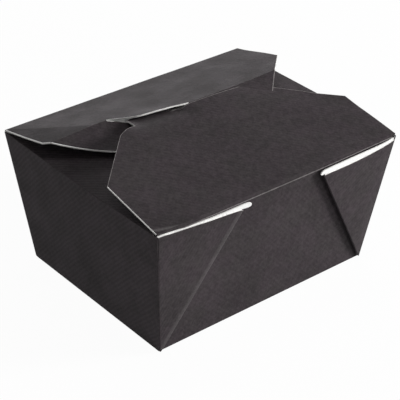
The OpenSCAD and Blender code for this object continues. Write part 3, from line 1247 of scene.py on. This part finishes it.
# In the order of the slots. Black ones have two hues, the colour of worn folds and painted
# highlights, and the rubbing, white ones light, dark and roughness.
MATERIALS = [
    black_material(
        "board_black", (0.0472, 0.0390, 0.0430), (0.0459, 0.0398, 0.0419),
        SOFT_FOLD_COLOUR, BOARD_RUB,
    ),
    white_material("board_white", (0.92, 0.915, 0.90), (0.86, 0.855, 0.84), 0.6),
    white_material("cut_edge", (0.90, 0.89, 0.87), (0.74, 0.73, 0.71), 0.85),
    # Lighter fold strips: worn ink and a painted highlight
    black_material(
        "fold_wear_and_highlight", (0.17, 0.158, 0.16), (0.16, 0.148, 0.148), WEAR_AND_HIGHLIGHT_COLOUR, CREASE_RUB
    ),
    # Lighter bands along cut edges: edge wear and a painted rim highlight
    black_material(
        "rim_wear_and_highlight", (0.235, 0.22, 0.218), (0.222, 0.207, 0.204), WEAR_AND_HIGHLIGHT_COLOUR, CREASE_RUB
    ),
]


def build_carton():
    tray = Sheet()
    add_floor(tray)
    for side in (-1, 1):
        add_large_wall(tray, side)
        add_side_wall(tray, side)
        for hand in (-1, 1):
            add_gusset(tray, side, hand)
    add_front_fold(tray)
    tray.build("tray", "carton", ["carton"])
    flaps = Sheet()
    for side in (-1, 1):
        add_side_flap(flaps, side)
    flaps.build("side_flaps", "carton", ["carton"])
    rear = Sheet()
    add_rear_flap(rear)
    rear.build("rear_flap", "carton", ["carton"])


def build_front_flap():
    sheet = Sheet()
    add_front_flap(sheet)
    sheet.build("front_flap_sheet", "front_flap", ["front_flap"])


# The photograph's camera: the sensor's width, the lens, its place, and its right and up directions
SENSOR = 36
LENS = 130.97
CAMERA_AT = (-344.766, -405.706, 358.712)
CAMERA_X = (0.7695, -0.6383, 0.0201)
CAMERA_Y = (0.3230, 0.4161, 0.8500)

# Lamps: name, place, size, power
LAMPS = [
    ("key", (0.95, -0.70, 0.52), 0.35, 19.4),
    ("rear_panel", (0.55, 1.2, 0.3), 0.8, 6.3),
    ("top_panel", (0.1, 0.3, 1.3), 0.6, 1.8),
]
# All lamps point at one place
LAMP_AIM = (0, 0, 0.03)
WORLD_LIGHT = 0.13

# The floor: half its width, how far below the box it lies, and its surface. The glow is the share
# of plain white in it for rays that show the backdrop.
FLOOR_REACH = 3.0
FLOOR_Z = -0.00005
FLOOR_COLOUR = (0.86, 0.86, 0.86, 1)
FLOOR_ROUGH = 0.9
FLOOR_GLOW = 0.965
BACKDROP = (1, 1, 1, 1)


def make_camera():
    data = bpy.data.cameras.new("camera")
    data.lens = LENS
    data.sensor_width = SENSOR
    cam = bpy.data.objects.new("camera", data)
    bpy.context.scene.collection.objects.link(cam)
    x = Vector(CAMERA_X).normalized()
    z = x.cross(Vector(CAMERA_Y)).normalized()
    y = z.cross(x)
    turn = Matrix((x, y, z)).transposed().to_4x4()
    cam.matrix_world = Matrix.Translation(Vector(CAMERA_AT) * MM) @ turn
    bpy.context.scene.camera = cam


def plain_ray(tree):
    """1 for rays from the camera, mirrored and see-through ones, which show a plain backdrop."""
    rays = tree.nodes.new("ShaderNodeLightPath")
    through = rays.outputs["Is Transmission Ray"]
    seen = add_math(tree, "MAXIMUM", rays.outputs["Is Camera Ray"], through)
    return add_math(tree, "MAXIMUM", seen, rays.outputs["Is Glossy Ray"])


def make_world(strength):
    """Even white light of this strength, in front of a plain white backdrop."""
    world = bpy.data.worlds.new("studio")
    bpy.context.scene.world = world
    world.use_nodes = True
    tree = world.node_tree
    back = tree.nodes["Background"]
    back.inputs["Color"].default_value = BACKDROP
    seen = plain_ray(tree)
    light = add_math(tree, "MULTIPLY_ADD", seen, 1 - strength, strength)
    link(tree, light, back.inputs["Strength"])


def make_floor():
    mesh = bpy.data.meshes.new("floor")
    r, z = FLOOR_REACH, FLOOR_Z
    mesh.from_pydata([(-r, -r, z), (r, -r, z), (r, r, z), (-r, r, z)], [], [(0, 1, 2, 3)])
    floor = bpy.data.objects.new("floor", mesh)
    bpy.context.scene.collection.objects.link(floor)
    material, tree, bsdf = node_tree("floor")
    bsdf.inputs["Base Color"].default_value = FLOOR_COLOUR
    bsdf.inputs["Roughness"].default_value = FLOOR_ROUGH
    glow = tree.nodes.new("ShaderNodeEmission")
    glow.inputs["Color"].default_value = BACKDROP
    mix = tree.nodes.new("ShaderNodeMixShader")
    link(tree, add_math(tree, "MULTIPLY", plain_ray(tree), FLOOR_GLOW), mix.inputs[0])
    link(tree, bsdf.outputs[0], mix.inputs[1])
    link(tree, glow.outputs[0], mix.inputs[2])
    link(tree, mix.outputs[0], tree.nodes["Material Output"].inputs["Surface"])
    mesh.materials.append(material)


def make_lamp(name, at, size, power):
    data = bpy.data.lights.new(name, "AREA")
    data.shape = "SQUARE"
    data.size = size
    data.energy = power
    lamp = bpy.data.objects.new(name, data)
    bpy.context.scene.collection.objects.link(lamp)
    lamp.location = at
    lamp.rotation_mode = "QUATERNION"
    lamp.rotation_quaternion = (Vector(LAMP_AIM) - Vector(at)).to_track_quat("-Z", "Y")


make_camera()
build_carton()
build_front_flap()
make_floor()
make_world(WORLD_LIGHT)
for lamp in LAMPS:
    make_lamp(*lamp)
bpy.context.scene.view_settings.view_transform = "Standard"
